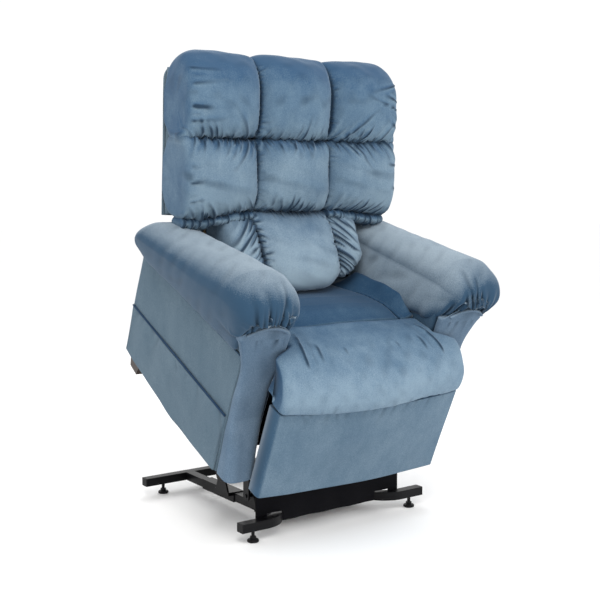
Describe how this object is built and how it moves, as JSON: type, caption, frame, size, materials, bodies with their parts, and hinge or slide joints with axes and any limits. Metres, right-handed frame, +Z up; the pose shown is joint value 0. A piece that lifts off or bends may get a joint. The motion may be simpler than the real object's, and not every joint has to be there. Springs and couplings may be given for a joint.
{
  "type": "lift recliner chair",
  "caption": "Padded lift recliner with pillow back, rolled arm pads, chaise footrest and a lifting steel base, shown raised and tipped forward.",
  "frame": {"origin": "on the floor, under the middle of the raised chair's bounding box", "axes": "+Z up, -Y to the front of the chair, +X to the sitter's left"},
  "size_m": [0.928, 0.8366, 1.3763],
  "materials": {
    "velvet": "matte",
    "black_steel": "satin",
    "zinc_steel": "satin",
    "black_plastic": "matte",
    "wood": "matte",
    "dark_wood": "satin",
    "black_cloth": "matte"
  },
  "bodies": {
    "base": {"base_side_tube_left": "black_steel", "base_side_tube_right": "black_steel", "base_rear_tube": "black_steel", "lift_arm_bracket_left": "black_steel", "lift_arm_bracket_right": "black_steel", "front_link_bracket_left": "black_steel", "front_link_bracket_right": "black_steel", "lift_motor_beam": "black_steel", "front_end_cap_left": "black_plastic", "front_end_cap_right": "black_plastic", "rear_end_cap_left": "black_plastic", "rear_end_cap_right": "black_plastic", "front_curtain": "black_cloth"},
    "lift_arms": {"lift_arm_left": "black_steel", "lift_arm_right": "black_steel", "lift_torque_tube": "black_steel"},
    "front_links": {"front_link_left": "black_steel", "front_link_right": "black_steel"},
    "lift_motor": {"lift_actuator_motor": "black_plastic"},
    "lift_rod": {"lift_actuator_rod": "zinc_steel"},
    "chair": {"seat_frame_rail_left": "black_steel", "seat_frame_rail_right": "black_steel", "seat_frame_front_tube": "black_steel", "seat_frame_rear_tube": "black_steel", "side_panel_left": "velvet", "side_panel_right": "velvet", "inner_arm_panel_left": "velvet", "inner_arm_panel_right": "velvet", "arm_front_panel_left": "velvet", "arm_front_panel_right": "velvet", "arm_pad_left": "velvet", "arm_pad_right": "velvet", "rear_foot_left": "dark_wood", "rear_foot_right": "dark_wood", "side_pocket_right": "velvet", "rear_cover_panel": "velvet", "seat_deck": "wood", "control_box": "black_plastic", "seat_cushion": "velvet", "chaise_pad": "velvet"},
    "backrest": {"back_frame": "wood", "back_shell": "velvet", "lumbar_cushion": "velvet", "middle_cushion": "velvet", "head_cushion": "velvet"},
    "recline_motor": {"recline_actuator_motor": "black_plastic"},
    "recline_rod": {"recline_actuator_rod": "zinc_steel"},
    "footrest": {"footrest_board": "wood", "footrest_pad": "velvet"},
    "footrest_upper_links": {"footrest_upper_link_left": "black_steel", "footrest_upper_link_right": "black_steel", "footrest_lever_tube": "black_steel"},
    "footrest_lower_links": {"footrest_lower_link_left": "black_steel", "footrest_lower_link_right": "black_steel"},
    "footrest_motor": {"footrest_actuator_motor": "black_plastic"},
    "footrest_rod": {"footrest_actuator_rod": "zinc_steel"},
    "front_foot_left": {"front_levelling_foot_left": "black_plastic"},
    "front_foot_right": {"front_levelling_foot_right": "black_plastic"},
    "rear_foot_left": {"rear_levelling_foot_left": "black_plastic"},
    "rear_foot_right": {"rear_levelling_foot_right": "black_plastic"}
  },
  "joints": [
    {"name": "lift", "type": "hinge", "parent": "base", "child": "lift_arms", "pos_m": [0, 0.125, 0.112], "axis": [-1, 0, 0], "range_deg": [0, 64.44], "deforming": ["front_curtain"]},
    {"name": "chair_tilt", "type": "hinge", "parent": "lift_arms", "child": "chair", "pos_m": [0, 0.2395, 0.46261], "axis": [1, 0, 0], "range_deg": [0, 40.82]},
    {"name": "front_link_turn", "type": "hinge", "parent": "base", "child": "front_links", "pos_m": [0, -0.047, 0.088], "axis": [-1, 0, 0], "range_deg": [0, 83.7]},
    {"name": "lift_motor_turn", "type": "hinge", "parent": "base", "child": "lift_motor", "pos_m": [0, -0.015, 0.099], "axis": [-1, 0, 0], "range_deg": [0, 73.21]},
    {"name": "lift_rod_slide", "type": "slide", "parent": "lift_motor", "child": "lift_rod", "axis": [0, 0.1946, -0.9809], "range_m": [0, 0.06484]},
    {"name": "recline", "type": "hinge", "parent": "chair", "child": "backrest", "pos_m": [0, 0.17118, 0.59208], "axis": [-1, 0, 0], "range_deg": [0, 58]},
    {"name": "recline_motor_turn", "type": "hinge", "parent": "chair", "child": "recline_motor", "pos_m": [0.078, -0.05534, 0.38383], "axis": [1, 0, 0], "range_deg": [0, 4.14]},
    {"name": "recline_rod_slide", "type": "slide", "parent": "recline_motor", "child": "recline_rod", "axis": [0, -0.9215, -0.3884], "range_m": [0, 0.10574]},
    {"name": "footrest_raise", "type": "hinge", "parent": "chair", "child": "footrest", "pos_m": [0, -0.47311, 0.51541], "axis": [-1, 0, 0], "range_deg": [0, 88]},
    {"name": "upper_link_turn", "type": "hinge", "parent": "chair", "child": "footrest_upper_links", "pos_m": [0, -0.23308, 0.44578], "axis": [-1, 0, 0], "range_deg": [0, 88.01]},
    {"name": "lower_link_turn", "type": "hinge", "parent": "footrest", "child": "footrest_lower_links", "pos_m": [0, -0.30545, 0.39665], "axis": [1, 0, 0], "range_deg": [0, 88.01]},
    {"name": "footrest_motor_turn", "type": "hinge", "parent": "chair", "child": "footrest_motor", "pos_m": [-0.078, 0.31215, 0.54679], "axis": [-1, 0, 0], "range_deg": [0, 1.47]},
    {"name": "footrest_rod_slide", "type": "slide", "parent": "footrest_motor", "child": "footrest_rod", "axis": [0, -0.9512, -0.3085], "range_m": [0, 0.12423]},
    {"name": "front_foot_screw_left", "type": "slide", "parent": "base", "child": "front_foot_left", "axis": [0, 0, -1], "range_m": [0, 0.012]},
    {"name": "front_foot_screw_right", "type": "slide", "parent": "base", "child": "front_foot_right", "axis": [0, 0, -1], "range_m": [0, 0.012]},
    {"name": "rear_foot_screw_left", "type": "slide", "parent": "base", "child": "rear_foot_left", "axis": [0, 0, -1], "range_m": [0, 0.012]},
    {"name": "rear_foot_screw_right", "type": "slide", "parent": "base", "child": "rear_foot_right", "axis": [0, 0, -1], "range_m": [0, 0.012]}
  ],
  "couplings": [
    {"joint": "chair_tilt", "follows": "lift", "ratio": 0.63329},
    {"joint": "front_link_turn", "follows": "lift", "ratio": 1.2988},
    {"joint": "lift_motor_turn", "follows": "lift", "ratio": 1.136},
    {"joint": "lift_rod_slide", "follows": "lift", "m_per_rad": 0.057658},
    {"joint": "recline_motor_turn", "follows": "recline", "ratio": 0.071275},
    {"joint": "recline_rod_slide", "follows": "recline", "m_per_rad": 0.10445},
    {"joint": "upper_link_turn", "follows": "footrest_raise", "ratio": 1},
    {"joint": "lower_link_turn", "follows": "footrest_raise", "ratio": 1},
    {"joint": "footrest_motor_turn", "follows": "footrest_raise", "ratio": 0.01664},
    {"joint": "footrest_rod_slide", "follows": "footrest_raise", "m_per_rad": 0.080886}
  ]
}
